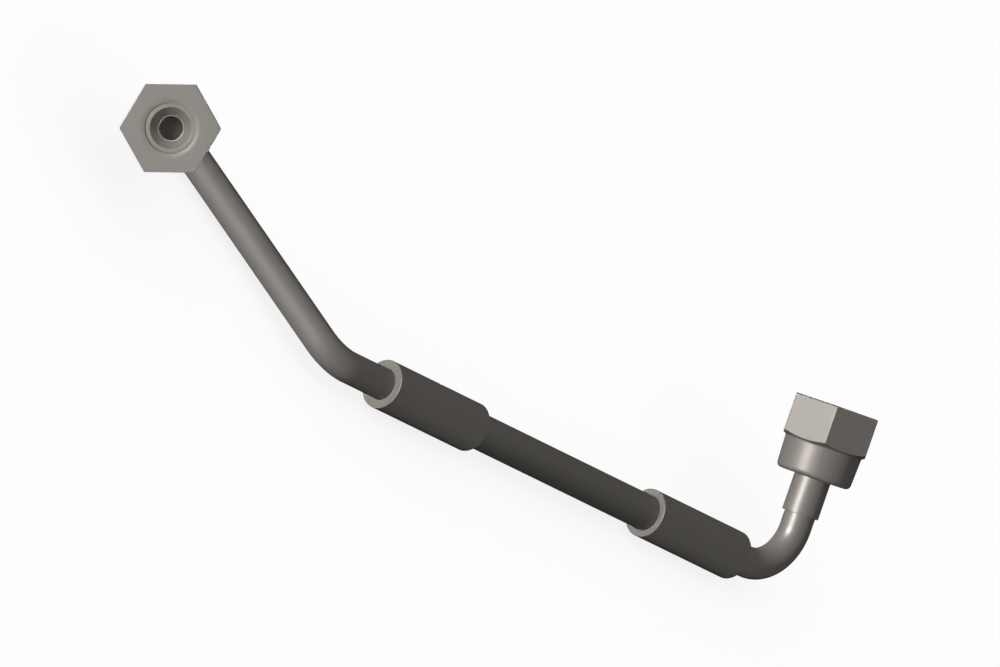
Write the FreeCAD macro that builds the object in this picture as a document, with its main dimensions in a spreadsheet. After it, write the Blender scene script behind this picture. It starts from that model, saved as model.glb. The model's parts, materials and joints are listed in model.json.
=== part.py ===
import FreeCAD, Part
import math
import os

import Sketcher

# Vent tube
#
# A short straight hose carries a bent steel tube at each end.  Each tube is held by
# a long crimped ferrule over a barbed stem, and ends in a machined nipple with a
# concave cone seat.  A captive swivel nut runs on each nipple.
#
# Every turned piece and every tube is drawn along its own Z axis, with Z pointing
# away from the middle of the hose.  The finished part lies as it comes to rest: on
# the undersides of its two ferrules and on the elbow of the double-bent tube.
# The origin is the middle of the footprint, X runs along the hose and Z is up.

# Driving sizes in millimetres and degrees: name, value, meaning.
SIZES = (
    ("tube_outside", 6.35, "outside diameter of both bent tubes"),
    ("tube_wall", 0.8, "wall of both bent tubes"),
    ("bend_radius", 9.525, "centre-line radius of every bend"),
    ("lead_a", 10.4, "straight from the ferrule to the offset bend, double-bent tube"),
    ("offset_angle", 52.08, "offset bend of the double-bent tube"),
    ("run_length", 40.76, "straight between the offset bend and the elbow"),
    ("elbow_twist_angle", -155.14, "turn of the elbow's plane about the straight run"),
    ("elbow_angle", 90.0, "elbow of the double-bent tube"),
    ("lead_b", 4.3, "straight from the ferrule to the hook bend, single-bent tube"),
    ("hook_angle", 95.5, "hook bend of the single-bent tube"),
    ("end_clocking_angle", 47.32, "turn of the hook's plane against the offset's, about the hose"),
    ("bare_length", 2.72, "tube showing between its last bend and the nipple"),
    ("hose_outside", 7.18, "outside diameter of the hose"),
    ("hose_bore", 4.8, "bore of the hose"),
    ("hose_free_length", 55.0, "hose showing between the ferrules"),
    ("ferrule_outside", 9.95, "outside diameter of a crimped ferrule"),
    ("ferrule_length", 27.3, "length of a ferrule"),
    ("collar_length", 8.0, "length of a ferrule's collar on the tube"),
    ("grip_count", 4, "grip grooves inside a ferrule"),
    ("grip_spacing", 3.6, "distance from one grip groove to the next"),
    ("grip_width", 1.8, "width of a grip groove"),
    ("grip_depth", 0.35, "depth of a grip groove"),
    ("stem_bore", 3.2, "bore of a barbed stem"),
    ("stem_tail_length", 15.0, "length of a stem inside the hose"),
    ("stem_flange_length", 1.5, "flange of a stem, between hose and tube"),
    ("spigot_length", 6.0, "spigot of a stem, brazed inside the tube"),
    ("barb_count", 4, "barbs on a stem"),
    ("barb_spacing", 3.2, "distance from one barb to the next"),
    ("barb_height", 0.3, "height of a barb over the root"),
    ("nipple_length", 13.99, "whole length of a nipple"),
    ("nipple_bore", 4.72, "bore of a nipple"),
    ("socket_depth", 7.5, "depth of the nipple's socket for the tube"),
    ("tail_outside", 7.5, "outside diameter of a nipple's tail"),
    ("tail_length", 9.3, "length of a nipple's tail up to its shoulder"),
    ("head_outside", 9.7, "outside diameter of a nipple's head"),
    ("shoulder_angle", 45.0, "slope of a nipple's shoulder and of the nut's lip above it"),
    ("seat_mouth", 8.14, "diameter of the cone seat at the nipple's front face"),
    ("seat_angle", 37.0, "half angle of the cone seat"),
    ("seat_land", 0.4, "width of the flat land at the foot of the cone seat"),
    ("nut_across_flats", 17.0, "hexagon of a swivel nut, across its flats"),
    ("nut_length", 14.97, "whole length of a swivel nut"),
    ("hexagon_height", 8.1, "height of the hexagon at the middle of a flat"),
    ("hexagon_chamfer_angle", 24.0, "slope of the cone that trims the hexagon's foot"),
    ("skirt_top", 15.86, "diameter of the nut's skirt at the hexagon"),
    ("skirt_foot", 15.3, "diameter of the nut's skirt at its crimped foot"),
    ("skirt_round", 1.0, "radius rolled on the crimped foot of the skirt"),
    ("neck_round", 0.5, "radius in the corner between skirt and hexagon"),
    ("thread_minor", 9.9, "crest diameter of the nut's inside thread"),
    ("thread_reach", 8.3, "depth of the thread's end below the mouth"),
    ("mouth_width", 0.85, "width of the shallow countersink at the nut's mouth"),
    ("mouth_angle", 20.0, "slope of that countersink against the nut's face"),
    ("cavity_outside", 10.4, "diameter of the relief that holds the nipple's head"),
    ("lip_length", 1.5, "length of the lip bore behind the nipple's shoulder"),
    ("nut_turn_angle_a", -5.36, "turn of the nut's hexagon on the double-bent tube"),
    ("nut_turn_angle_b", -15.99, "turn of the nut's hexagon on the single-bent tube"),
    ("swivel_gap", 0.1, "radial running gap between a nut's lip and the nipple's tail"),
    ("swivel_float", 0.28, "end float of a nut on its nipple"),
    ("joint_gap", 0.05, "radial gap of each brazed or crimped fit"),
)

SHEET = "Sizes"
PART_FOLDER = "parts"
START_LENGTH = 10.0
HEXAGON_SIDES = 6
ROLL_TOLERANCE = 1e-7

TUBE_RADIUS = "Sizes.tube_outside / 2"
TUBE_SEAT_RADIUS = "(Sizes.tube_outside / 2 + Sizes.joint_gap)"
HOSE_SEAT_RADIUS = "(Sizes.hose_outside / 2 + Sizes.joint_gap)"
HOSE_SEAT_DEPTH = "(Sizes.ferrule_length - Sizes.collar_length - Sizes.stem_flange_length)"


def make_sheet(doc):
    """Write the driving sizes into a spreadsheet, one named cell each."""
    sheet = doc.addObject("Spreadsheet::Sheet", SHEET)
    for row, (name, value, meaning) in enumerate(SIZES, start=1):
        sheet.set(f"A{row}", name)
        sheet.set(f"B{row}", str(value))
        sheet.set(f"C{row}", meaning)
        sheet.setAlias(f"B{row}", name)
    doc.recompute()
    return sheet


def new_body(doc, label):
    """Start a body whose name and label are the sub-part's name."""
    body = doc.addObject("PartDesign::Body", label)
    body.Label = label
    return body


def new_sketch(body, name, role):
    """Attach an empty sketch to one of the body's origin planes."""
    plane = next(item for item in body.Origin.OriginFeatures if item.Role == role)
    sketch = body.newObject("Sketcher::SketchObject", name)
    sketch.AttachmentSupport = [(plane, "")]
    sketch.MapMode = "FlatFace"
    return sketch


def drive(sketch, kind, references, expression):
    """Add one driving dimension and bind it to an expression."""
    number = sketch.addConstraint(Sketcher.Constraint(kind, *references, 1.0))
    sketch.setExpression(f"Constraints[{number}]", expression)


def draw_outline(sketch, corners):
    """Draw a closed outline whose corners are (across, up) expressions.

    The lines start as chords of a circle, and the dimensions move them to size.
    """
    count = len(corners)
    turn = 2 * math.pi / count
    start = [
        FreeCAD.Vector(math.cos(turn * index), math.sin(turn * index), 0)
        for index in range(count)
    ]
    for index in range(count):
        sketch.addGeometry(Part.LineSegment(start[index], start[(index + 1) % count]))
    for index in range(count):
        following = (index + 1) % count
        sketch.addConstraint(Sketcher.Constraint("Coincident", index, 2, following, 1))
    for index, (across, up) in enumerate(corners):
        drive(sketch, "DistanceX", (-1, 1, index, 1), across)
        drive(sketch, "DistanceY", (-1, 1, index, 1), up)


def turn_outline(body, name, kind, corners):
    """Turn a (radius, height) outline about Z, as a Revolution or a Groove."""
    sketch = new_sketch(body, name + "_outline", "XZ_Plane")
    draw_outline(sketch, corners)
    feature = body.newObject("PartDesign::" + kind, name)
    feature.Profile = sketch
    feature.ReferenceAxis = (sketch, ["V_Axis"])
    feature.Angle = 360.0
    return feature


def straight(length):
    """Placement expression of one straight step along Z."""
    return f"placement(vector(0; 0; {length}); rotation(vector(0; 0; 1); 0))"


def bend(angle):
    """Placement expression of one bend of the tube, in the XZ plane towards X."""
    return (
        f"placement(vector(Sizes.bend_radius * (1 - cos({angle})); 0;"
        f" Sizes.bend_radius * sin({angle})); rotation(vector(0; 1; 0); {angle}))"
    )


def turn(angle):
    """Placement expression of a turn about Z."""
    return f"placement(vector(0; 0; 0); rotation(vector(0; 0; 1); {angle}))"


def tip(angle):
    """Placement expression of a turn about X."""
    return f"placement(vector(0; 0; 0); rotation(vector(1; 0; 0); {angle}))"


def chain(*steps):
    """Join placement expressions, each taken in the frame that the last one left."""
    return " * ".join(steps)


def draw_ring(sketch):
    """Draw the tube's section, two circles about the sketch's origin."""
    inside = "Sizes.tube_outside - 2 * Sizes.tube_wall"
    for diameter in ("Sizes.tube_outside", inside):
        circle = sketch.addGeometry(
            Part.Circle(FreeCAD.Vector(), FreeCAD.Vector(0, 0, 1), 1.0)
        )
        sketch.addConstraint(Sketcher.Constraint("Coincident", circle, 3, -1, 1))
        drive(sketch, "Diameter", (circle,), diameter)


def draw_spine(sketch, lead_in, angle, lead_out):
    """Draw a straight, a tangent bend to the right and a second straight.

    The bend starts as a quarter circle, and the dimensions move it to size.
    """
    corner = FreeCAD.Vector(START_LENGTH, START_LENGTH, 0)
    lower = sketch.addGeometry(
        Part.LineSegment(FreeCAD.Vector(), FreeCAD.Vector(0, START_LENGTH, 0))
    )
    arc = sketch.addGeometry(
        Part.ArcOfCircle(
            Part.Circle(corner, FreeCAD.Vector(0, 0, 1), START_LENGTH),
            math.pi / 2,
            math.pi,
        )
    )
    upper = sketch.addGeometry(
        Part.LineSegment(
            corner + FreeCAD.Vector(0, START_LENGTH, 0),
            corner + FreeCAD.Vector(START_LENGTH, START_LENGTH, 0),
        )
    )
    sketch.addConstraint(Sketcher.Constraint("Coincident", lower, 1, -1, 1))
    sketch.addConstraint(Sketcher.Constraint("Vertical", lower))
    sketch.addConstraint(Sketcher.Constraint("Tangent", lower, 2, arc, 2))
    sketch.addConstraint(Sketcher.Constraint("Tangent", arc, 1, upper, 1))
    drive(sketch, "Distance", (lower,), lead_in)
    drive(sketch, "Radius", (arc,), "Sizes.bend_radius")
    drive(sketch, "Distance", (upper,), lead_out)
    drive(sketch, "Angle", (lower, 2, upper, 1), f"180 - {angle}")


def bent_tube(doc, label, stretches):
    """Bend one tube.

    stretches lists (start, lead_in, angle, lead_out) for each bend.  start is the
    placement of the stretch in the body, and every stretch is one swept ring.
    """
    body = new_body(doc, label)
    for number, (start, lead_in, angle, lead_out) in enumerate(stretches, start=1):
        ring = new_sketch(body, f"ring_{number}", "XY_Plane")
        ring.setExpression("AttachmentOffset", start)
        draw_ring(ring)
        spine = new_sketch(body, f"spine_{number}", "XZ_Plane")
        spine.setExpression("AttachmentOffset", chain(tip(-90), start, tip(90)))
        draw_spine(spine, lead_in, angle, lead_out)
        pipe = body.newObject("PartDesign::AdditivePipe", f"stretch_{number}")
        pipe.Profile = ring
        pipe.Spine = (spine, ["Edge1", "Edge2", "Edge3"])
    return body


def hose(doc):
    """The plain hose, from flange to flange of the two stems."""
    body = new_body(doc, "hose")
    half = f"(Sizes.hose_free_length / 2 + {HOSE_SEAT_DEPTH})"
    turn_outline(body, "hose_wall", "Revolution", [
        ("Sizes.hose_bore / 2", f"-{half}"),
        ("Sizes.hose_outside / 2", f"-{half}"),
        ("Sizes.hose_outside / 2", half),
        ("Sizes.hose_bore / 2", half),
    ])
    return body


def ferrule(doc, label):
    """A plain sleeve with a collar bored for the tube and grip grooves for the hose."""
    body = new_body(doc, label)
    turn_outline(body, "sleeve", "Revolution", [
        (HOSE_SEAT_RADIUS, "0"),
        ("Sizes.ferrule_outside / 2", "0"),
        ("Sizes.ferrule_outside / 2", "Sizes.ferrule_length"),
        (TUBE_SEAT_RADIUS, "Sizes.ferrule_length"),
        (TUBE_SEAT_RADIUS, HOSE_SEAT_DEPTH),
        (HOSE_SEAT_RADIUS, HOSE_SEAT_DEPTH),
    ])
    grooved = f"{HOSE_SEAT_RADIUS} + Sizes.grip_depth"
    lower = "Sizes.grip_spacing / 2"
    upper = f"{lower} + Sizes.grip_width"
    groove = turn_outline(body, "grip_groove", "Groove", [
        (HOSE_SEAT_RADIUS, lower),
        (grooved, lower),
        (grooved, upper),
        (HOSE_SEAT_RADIUS, upper),
    ])
    pattern = body.newObject("PartDesign::LinearPattern", "grip_grooves")
    pattern.Originals = [groove]
    pattern.Direction = (groove.Profile[0], ["V_Axis"])
    pattern.setExpression("Length", "Sizes.grip_spacing * (Sizes.grip_count - 1)")
    pattern.setExpression("Occurrences", "Sizes.grip_count")
    body.Tip = pattern
    return body


def stem(doc, label, barb_count):
    """A barbed stem: spigot in the tube, flange between the ends, barbs in the hose."""
    body = new_body(doc, label)
    bore = "Sizes.stem_bore / 2"
    crest = "(Sizes.hose_bore / 2 - Sizes.joint_gap)"
    root = f"{crest} - Sizes.barb_height"
    spigot = "Sizes.tube_outside / 2 - Sizes.tube_wall - Sizes.joint_gap"
    spigot_end = "Sizes.stem_flange_length + Sizes.spigot_length"
    corners = [
        (bore, "-Sizes.stem_tail_length"),
        (root, "-Sizes.stem_tail_length"),
    ]
    for number in range(1, barb_count + 1):
        edge = f"{number} * Sizes.barb_spacing - Sizes.stem_tail_length"
        corners.append((crest, edge))
        corners.append((root, edge))
    corners.extend([
        (root, "0"),
        (TUBE_RADIUS, "0"),
        (TUBE_RADIUS, "Sizes.stem_flange_length"),
        (spigot, "Sizes.stem_flange_length"),
        (spigot, spigot_end),
        (bore, spigot_end),
    ])
    turn_outline(body, "barbed_stem", "Revolution", corners)
    return body


def nipple(doc, label):
    """A machined nipple: socket for the tube, tail, shoulder, head and cone seat."""
    body = new_body(doc, label)
    bore = "Sizes.nipple_bore / 2"
    tail = "Sizes.tail_outside / 2"
    head = "Sizes.head_outside / 2"
    front = "Sizes.nipple_length"
    shoulder = f"Sizes.tail_length + ({head} - {tail}) / tan(Sizes.shoulder_angle)"
    land = f"{bore} + Sizes.seat_land"
    seat_foot = f"{front} - (Sizes.seat_mouth / 2 - {bore} - Sizes.seat_land) / tan(Sizes.seat_angle)"
    turn_outline(body, "turned_nipple", "Revolution", [
        (TUBE_SEAT_RADIUS, "0"),
        (tail, "0"),
        (tail, "Sizes.tail_length"),
        (head, shoulder),
        (head, front),
        ("Sizes.seat_mouth / 2", front),
        (land, seat_foot),
        (bore, seat_foot),
        (bore, "Sizes.socket_depth"),
        (TUBE_SEAT_RADIUS, "Sizes.socket_depth"),
    ])
    return body


def ring_edge(shape, radius, height):
    """Name of the full circle about Z that lies nearest the given radius and height."""
    def distance(item):
        return math.hypot(item[1].Curve.Radius - radius, item[1].Curve.Center.z - height)

    rings = [
        (f"Edge{number}", edge)
        for number, edge in enumerate(shape.Edges, start=1)
        if isinstance(edge.Curve, Part.Circle) and edge.isClosed()
    ]
    return min(rings, key=distance)[0]


def swivel_nut(doc, label, sheet):
    """A hexagon nut with a crimped skirt, an inside lip and a threaded mouth."""
    body = new_body(doc, label)
    prism = body.newObject("PartDesign::AdditivePrism", "hexagon")
    prism.Polygon = HEXAGON_SIDES
    corner = f"Sizes.nut_across_flats / 2 / cos(180 / {HEXAGON_SIDES})"
    prism.setExpression("Circumradius", corner)
    prism.setExpression("Height", "Sizes.nut_length")

    flat = "Sizes.nut_across_flats / 2"
    hexagon_foot = "Sizes.nut_length - Sizes.hexagon_height"
    slope = "tan(Sizes.hexagon_chamfer_angle)"
    skirt_top = f"{hexagon_foot} - ({flat} - Sizes.skirt_top / 2) * {slope}"
    clear_of_corners = "Sizes.nut_across_flats"
    turn_outline(body, "skirt", "Groove", [
        ("Sizes.skirt_foot / 2", "0"),
        ("Sizes.skirt_top / 2", skirt_top),
        (clear_of_corners, f"{hexagon_foot} + {flat} * {slope}"),
        (clear_of_corners, "0"),
    ])

    lip = "(Sizes.tail_outside / 2 + Sizes.swivel_gap)"
    cavity = "Sizes.cavity_outside / 2"
    thread = "Sizes.thread_minor / 2"
    thread_foot = "Sizes.nut_length - Sizes.thread_reach"
    thread_start = "Sizes.nut_length - Sizes.mouth_width * tan(Sizes.mouth_angle)"
    bore = turn_outline(body, "bore", "Groove", [
        ("0", "0"),
        (lip, "0"),
        (lip, "Sizes.lip_length"),
        (cavity, f"Sizes.lip_length + ({cavity} - {lip}) / tan(Sizes.shoulder_angle)"),
        (cavity, thread_foot),
        (thread, thread_foot),
        (thread, thread_start),
        (f"{thread} + Sizes.mouth_width", "Sizes.nut_length"),
        ("0", "Sizes.nut_length"),
    ])
    doc.recompute()

    foot_edge = ring_edge(bore.Shape, sheet.skirt_foot / 2, 0.0)
    foot = body.newObject("PartDesign::Fillet", "rolled_foot")
    foot.Base = (bore, [foot_edge])
    foot.setExpression("Radius", "Sizes.skirt_round")
    doc.recompute()

    neck_height = sheet.nut_length - sheet.hexagon_height
    neck_edge = ring_edge(foot.Shape, sheet.skirt_top / 2, neck_height)
    neck = body.newObject("PartDesign::Fillet", "neck")
    neck.Base = (foot, [neck_edge])
    neck.setExpression("Radius", "Sizes.neck_round")
    return body


def place(body, steps):
    """Bind a body's placement to a chain of steps."""
    body.setExpression("Placement", steps)


def place_fitting(end, lead, path, clocking):
    """Place the five pieces of one end along the tube's route.

    end holds the ferrule, stem, tube, nipple and nut.  lead is the placement of
    the ferrule's hose side, and path leads from the tube's hose end to its last bend.
    """
    sleeve, barbs, tube, seat, nut = end
    tube_start = chain(lead, straight(HOSE_SEAT_DEPTH), straight("Sizes.stem_flange_length"))
    nut_back = (
        "(Sizes.tail_length - Sizes.lip_length - Sizes.swivel_float"
        f" + Sizes.swivel_gap / tan(Sizes.shoulder_angle))"
    )
    place(sleeve, lead)
    place(barbs, chain(lead, straight(HOSE_SEAT_DEPTH)))
    place(tube, tube_start)
    place(seat, chain(tube_start, path, straight("Sizes.bare_length")))
    place(nut, chain(f"{seat.Name}.Placement", straight(nut_back), turn(clocking)))


def lowest(bodies, roll):
    """Height of the lowest point of some bodies, rolled about X."""
    rolled = FreeCAD.Placement(FreeCAD.Vector(), FreeCAD.Rotation(FreeCAD.Vector(1, 0, 0), roll))
    heights = []
    for body in bodies:
        shape = body.Shape.copy()
        shape.Placement = rolled.multiply(body.Placement)
        heights.append(shape.optimalBoundingBox(False).ZMin)
    return min(heights)


def resting_roll(end_a, ferrule_radius):
    """Roll about the hose at which end A and the ferrules touch one flat surface.

    Rolled by 0 degrees, the double-bent tube stands straight up, and by -180 it
    hangs straight down.  The contact lies between, and is found by halving.
    """
    high, low = 0.0, -180.0
    while high - low > ROLL_TOLERANCE:
        middle = (high + low) / 2
        if lowest(end_a, middle) > -ferrule_radius:
            high = middle
        else:
            low = middle
    return (high + low) / 2


def lay_down(doc, carrier, end_a, bodies, ferrule_radius):
    """Lay the part on its ferrules and elbow, with the origin under its middle."""
    upright = FreeCAD.Rotation(FreeCAD.Vector(1, 0, 1), 180)
    carrier.Placement = FreeCAD.Placement(FreeCAD.Vector(), upright)
    doc.recompute()
    roll = FreeCAD.Rotation(FreeCAD.Vector(1, 0, 0), resting_roll(end_a, ferrule_radius))
    carrier.Placement = FreeCAD.Placement(FreeCAD.Vector(), roll.multiply(upright))
    doc.recompute()
    box = FreeCAD.BoundBox()
    for body in bodies:
        box.add(body.Shape.optimalBoundingBox(False))
    shift = FreeCAD.Vector(-box.Center.x, -box.Center.y, -box.ZMin)
    carrier.Placement = FreeCAD.Placement(shift, carrier.Placement.Rotation)
    doc.recompute()


def check(doc, bodies):
    """Stop if any object failed, or if a sub-part isn't one valid solid."""
    for item in doc.Objects:
        if "Invalid" in item.State or "Error" in item.State:
            raise RuntimeError(f"{item.Label} failed: {item.State}")
    for body in bodies:
        shape = body.Shape
        if shape.isNull() or not shape.isValid() or len(shape.Solids) != 1:
            raise RuntimeError(f"{body.Label} is not one valid solid")


def main():
    """Build every sub-part, lay the part down and write one file for each."""
    doc = FreeCAD.newDocument("vent_tube")
    sheet = make_sheet(doc)
    barb_count = int(sheet.barb_count)
    ferrule_radius = sheet.ferrule_outside / 2

    middle = hose(doc)
    in_nipple = "Sizes.bare_length + Sizes.socket_depth"
    to_offset = "(Sizes.collar_length + Sizes.lead_a)"
    to_hook = "(Sizes.collar_length + Sizes.lead_b)"
    half_run = "Sizes.run_length / 2"
    to_run = chain(
        straight(to_offset),
        bend("Sizes.offset_angle"),
        straight(half_run),
        turn("Sizes.elbow_twist_angle"),
    )
    double_bent = bent_tube(doc, "double_bent_tube", [
        (straight("0"), to_offset, "Sizes.offset_angle", half_run),
        (to_run, half_run, "Sizes.elbow_angle", in_nipple),
    ])
    single_bent = bent_tube(doc, "single_bent_tube", [
        (straight("0"), to_hook, "Sizes.hook_angle", in_nipple),
    ])
    end_a = [
        ferrule(doc, "ferrule_a"),
        stem(doc, "barbed_stem_a", barb_count),
        double_bent,
        nipple(doc, "nipple_a"),
        swivel_nut(doc, "swivel_nut_a", sheet),
    ]
    end_b = [
        ferrule(doc, "ferrule_b"),
        stem(doc, "barbed_stem_b", barb_count),
        single_bent,
        nipple(doc, "nipple_b"),
        swivel_nut(doc, "swivel_nut_b", sheet),
    ]
    bodies = [middle] + end_a + end_b

    to_ferrule = straight("Sizes.hose_free_length / 2")
    path_a = chain(to_run, straight(half_run), bend("Sizes.elbow_angle"))
    path_b = chain(straight(to_hook), bend("Sizes.hook_angle"))
    lead_a = chain("hose.Placement", tip(180), to_ferrule)
    lead_b = chain("hose.Placement", turn("Sizes.end_clocking_angle"), to_ferrule)
    place_fitting(end_a, lead_a, path_a, "Sizes.nut_turn_angle_a")
    place_fitting(end_b, lead_b, path_b, "Sizes.nut_turn_angle_b")
    lay_down(doc, middle, end_a[2:], bodies, ferrule_radius)
    check(doc, bodies)

    os.makedirs(PART_FOLDER, exist_ok=True)
    for body in bodies:
        body.Shape.exportStep(os.path.join(PART_FOLDER, body.Label + ".step"))
        print(f"{body.Label}: {body.Shape.Volume:.2f} cubic millimetres")


main()
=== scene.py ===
"""Vent tube: the looks of a short hose line with bent tube ends and swivel nuts.

Every visible piece is a closed surface computed on a grid, set on the axes and end
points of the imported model, and finished with a procedural metal or hose material.
"""

import json
import math

import bpy
import numpy as np
from mathutils import Matrix, Vector


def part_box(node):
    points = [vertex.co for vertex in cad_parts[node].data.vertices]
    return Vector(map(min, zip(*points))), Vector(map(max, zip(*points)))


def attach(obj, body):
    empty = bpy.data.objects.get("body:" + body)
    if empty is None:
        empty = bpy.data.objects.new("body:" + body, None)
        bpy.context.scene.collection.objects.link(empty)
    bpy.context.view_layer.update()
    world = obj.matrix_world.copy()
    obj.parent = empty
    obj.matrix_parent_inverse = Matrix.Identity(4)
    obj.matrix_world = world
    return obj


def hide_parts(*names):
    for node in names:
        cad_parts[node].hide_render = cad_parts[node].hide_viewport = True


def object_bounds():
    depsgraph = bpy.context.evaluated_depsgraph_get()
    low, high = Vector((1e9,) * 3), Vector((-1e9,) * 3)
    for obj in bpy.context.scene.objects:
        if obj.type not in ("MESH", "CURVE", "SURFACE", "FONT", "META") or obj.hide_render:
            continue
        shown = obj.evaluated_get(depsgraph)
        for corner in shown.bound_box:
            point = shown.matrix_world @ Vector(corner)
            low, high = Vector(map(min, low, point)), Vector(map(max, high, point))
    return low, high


bl_info = {
    "name": "Vent tube",
    "version": (1, 0, 0),
    "blender": (4, 5, 0),
    "location": "3D View > Sidebar > Vent tube",
    "description": "Builds the visible pieces, finishes and studio of a vent tube",
    "category": "Add Mesh",
}

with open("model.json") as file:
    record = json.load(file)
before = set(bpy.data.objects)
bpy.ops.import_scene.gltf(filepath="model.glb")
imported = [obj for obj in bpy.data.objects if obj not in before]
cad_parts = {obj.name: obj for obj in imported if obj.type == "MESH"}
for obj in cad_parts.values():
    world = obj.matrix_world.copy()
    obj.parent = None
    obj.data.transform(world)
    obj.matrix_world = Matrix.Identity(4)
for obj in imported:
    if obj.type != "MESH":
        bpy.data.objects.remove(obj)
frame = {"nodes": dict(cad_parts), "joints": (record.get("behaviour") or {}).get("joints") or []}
CAD_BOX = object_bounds()

ASSEMBLY = "tube_assembly"
ENDS = ("a", "b")
LOCAL = "unbent"
BAR_FACE = "bar_face"
MILLIMETRE = 0.001

# Steps of the grids: in a rounded corner, round a turned piece, along a tube's bend,
# across a corner and a flat of the hexagon, and in one pitch of the thread
ROUND_STEPS = 4
TURN_STEPS = 96
BEND_STEPS = 24
CORNER_COLUMNS = 5
FLAT_STEPS = 14
PITCH_STEPS = 16

# A rounded corner takes at most this share of the shorter side beside it
ROUND_REACH = 0.45

# Half the thread's flat crest and half its flat root, in pitches
HALF_CREST = 1 / 8
HALF_ROOT = 1 / 16

# Lathe rings: their scale, and how much they slant so that faces get them as well
RING_SCALE = 5200.0
RING_DETAIL = 3.0
RING_ROUGHNESS = 0.7
RING_SLANT = 0.73
# Height of the finest marks, in metres
MARK_HEIGHT = 0.00002

# How far colour and roughness drift to either side of their own value
STEEL_DRIFT = 0.06
HOSE_DRIFT = 0.05
STEM_DRIFT = 0.05
ROUGHNESS_DRIFT = 0.10
HOSE_CLOUD_DRIFT = 0.08

# The floor: half its side and its drop under the object in metres, its own grey, the
# grey of its deepest soft shadow, how far that shadow reaches, and how much of what
# the camera sees is white and not the floor's own grey
FLOOR_REACH = 40.0
FLOOR_DROP = 0.00002
FLOOR_GREY = 0.3
SHADOW_GREY = 0.85
SHADOW_REACH = 0.03
SHADOW_SAMPLES = 8
WHITE_SHARE = 0.98

# Sines of the elevations between which the surroundings dim towards the ceiling
HORIZON = 0.08
OVERHEAD = 0.42

# Lamps: azimuth and elevation in degrees, then distance and diameter in metres
LAMPS = {
    "key": (-90.0, 7.0, 4.0, 0.3),
    "glint": (-90.0, 7.0, 4.0, 0.8),
    "front": (-53.0, 30.0, 7.0, 6.2),
    "back": (126.4, -27.3, 4.0, 0.5),
}
SHADOW_LAMP = "front"
HIGHLIGHT_LAMP = "glint"


def length(name, description, default):
    """A length property, given in millimetres and kept in metres."""
    return bpy.props.FloatProperty(
        name=name,
        description=description,
        default=default * MILLIMETRE,
        unit="LENGTH",
        subtype="DISTANCE",
        precision=5,
    )


def angle(name, description, default):
    """An angle property, given in degrees and kept in radians."""
    return bpy.props.FloatProperty(
        name=name,
        description=description,
        default=math.radians(default),
        unit="ROTATION",
        subtype="ANGLE",
    )


def colour(name, description, default):
    """A linear colour property."""
    return bpy.props.FloatVectorProperty(
        name=name,
        description=description,
        default=default,
        size=3,
        min=0.0,
        max=1.0,
        subtype="COLOR",
    )


def share(name, description, default):
    """A plain number between 0 and 1."""
    return bpy.props.FloatProperty(
        name=name, description=description, default=default, min=0.0, max=1.0, subtype="FACTOR"
    )


def amount(name, description, default):
    """A plain number with no unit."""
    return bpy.props.FloatProperty(name=name, description=description, default=default, precision=4)


class LineSizes(bpy.types.PropertyGroup):
    """Sizes of the tubes, the hose and the ferrules."""

    tube_outside: length("Tube outside", "Outside diameter of both bent tubes", 6.35)
    tube_wall: length("Tube wall", "Wall of both bent tubes", 0.8)
    bend_radius: length("Bend radius", "Centre-line radius of every bend", 9.525)
    collar: length("Collar", "Length of a ferrule's collar on the tube", 8.0)
    flange: length("Flange", "Stem flange between the hose and the tube", 1.5)
    hose_bore: length("Hose bore", "Bore of the hose", 4.8)
    grip_spacing: length("Grip spacing", "Distance between grip grooves", 3.6)
    grip_width: length("Grip width", "Width of a grip groove", 1.8)
    grip_depth: length("Grip depth", "Depth of a grip groove", 0.35)
    grip_count: bpy.props.IntProperty(name="Grips", description="Grip grooves", default=4)
    joint_gap: length("Joint gap", "Radial gap of a brazed or crimped fit", 0.05)
    edge: length("Edge", "Radius broken on a ferrule's edges", 0.1)


class FittingSizes(bpy.types.PropertyGroup):
    """Sizes of the nipples and the swivel nuts."""

    across_flats: length("Across flats", "Hexagon of the nut", 17.0)
    nut_length: length("Nut length", "Whole length of the nut", 14.97)
    hexagon_height: length("Hexagon height", "Height of a flat at its middle", 8.1)
    chamfer: angle("Chamfer", "Slope of the cone at the hexagon's foot", 24.0)
    skirt_top: length("Skirt top", "Diameter of the skirt at the hexagon", 15.86)
    skirt_foot: length("Skirt foot", "Diameter of the skirt at its foot", 15.3)
    skirt_round: length("Skirt round", "Radius rolled on the skirt's foot", 1.0)
    neck_round: length("Neck round", "Radius between skirt and hexagon", 0.5)
    edge: length("Edge", "Radius broken on the machined edges", 0.12)
    thread_crest: length("Thread crest", "Crest diameter of the thread", 9.9)
    thread_root: length("Thread root", "Root diameter of the thread", 11.11)
    thread_pitch: length("Thread pitch", "Pitch of the thread", 1.27)
    thread_reach: length("Thread reach", "Depth of the thread's end", 8.3)
    mouth_width: length("Mouth width", "Width of the countersink at the nut's mouth", 0.85)
    mouth_angle: angle("Mouth angle", "Slope of that countersink", 4.0)
    cavity: length("Cavity", "Diameter of the relief for the nipple's head", 10.4)
    lip_length: length("Lip length", "Length of the lip bore", 1.5)
    swivel_gap: length("Swivel gap", "Radial gap between lip and tail", 0.1)
    swivel_float: length("Swivel float", "End float of the nut", 0.28)
    nipple_length: length("Nipple length", "Whole length of the nipple", 13.99)
    nipple_bore: length("Nipple bore", "Bore of the nipple", 4.72)
    socket_depth: length("Socket depth", "Depth of the socket for the tube", 7.5)
    tail_outside: length("Tail outside", "Outside diameter of the tail", 7.5)
    tail_length: length("Tail length", "Length of the tail up to the shoulder", 9.3)
    head_outside: length("Head outside", "Outside diameter of the head", 9.7)
    seat_mouth: length("Seat mouth", "Diameter of the cone seat at the face", 8.14)
    seat_angle: angle("Seat angle", "Half angle of the cone seat", 37.0)
    seat_land: length("Seat land", "Width of the land under the seat", 0.2)


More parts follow.
